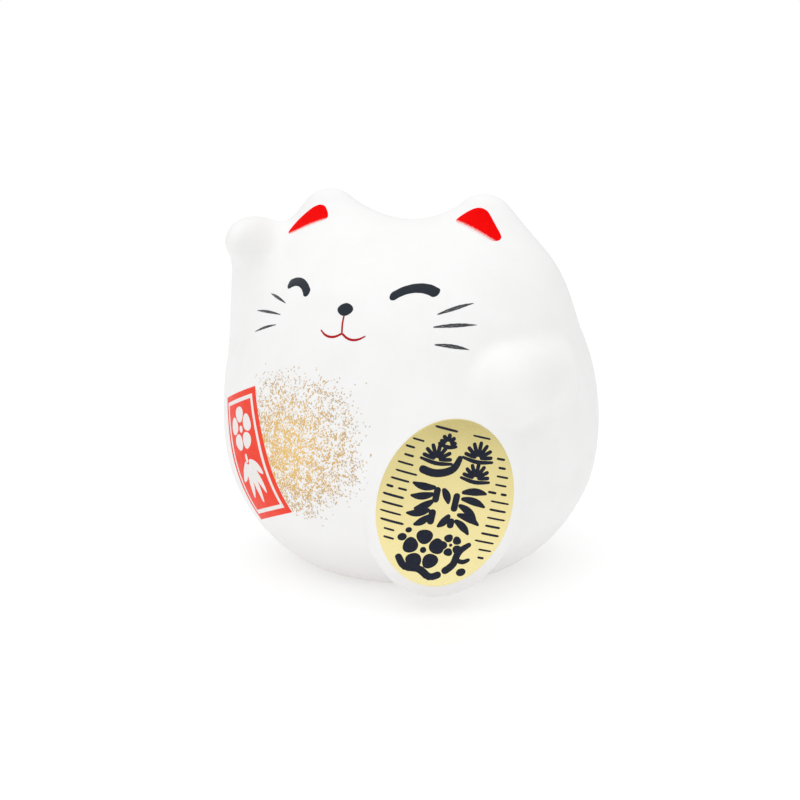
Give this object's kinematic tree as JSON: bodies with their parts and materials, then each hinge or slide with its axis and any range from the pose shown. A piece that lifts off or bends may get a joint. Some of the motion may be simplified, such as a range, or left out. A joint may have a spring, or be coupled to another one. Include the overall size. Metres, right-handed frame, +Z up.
{
  "type": "beckoning cat figurine",
  "caption": "Round hollow earthenware beckoning cat: right paw raised, left arm over a large oval gold coin, red fortune tag, painted smiling face, flat foot with a plugged pour hole.",
  "frame": {"origin": "centre of the flat foot, on the surface the cat stands on and on the axis of the round body", "axes": "+Z up, -Y the way the cat faces, +X towards the cat's own left"},
  "size_m": [0.0906, 0.0897, 0.0896],
  "materials": {
    "bisque_white": "matte bisque with a thin cold-painted white coat",
    "soft_vinyl": "satin translucent soft vinyl",
    "gold_foil": "satin gold foil",
    "coin_ink": "matte navy-black printed ink",
    "vermilion_transfer": "satin vermilion transfer",
    "white_print": "matte white print",
    "ear_red": "satin red enamel",
    "brush_black": "satin black enamel line",
    "mouth_red": "satin dark red enamel line",
    "whisker_grey": "dry grey brush line"
  },
  "bodies": {
    "figurine": {"body": "bisque_white", "koban_label": "gold_foil", "koban_hatching": "coin_ink", "koban_emblem": "coin_ink", "fortune_tag": "vermilion_transfer", "tag_frame": "white_print", "tag_emblem": "white_print", "right_ear_enamel": "ear_red", "left_ear_enamel": "ear_red", "right_eye_line": "brush_black", "left_eye_line": "brush_black", "nose_spot": "brush_black", "mouth_line": "mouth_red", "right_whiskers": "whisker_grey", "left_whiskers": "whisker_grey"},
    "stopper": {"base_stopper": "soft_vinyl"}
  },
  "joints": [
    {"name": "stopper_pull", "type": "slide", "parent": "figurine", "child": "stopper", "axis": [0, 0, -1], "range_m": [0, 0.015]}
  ]
}
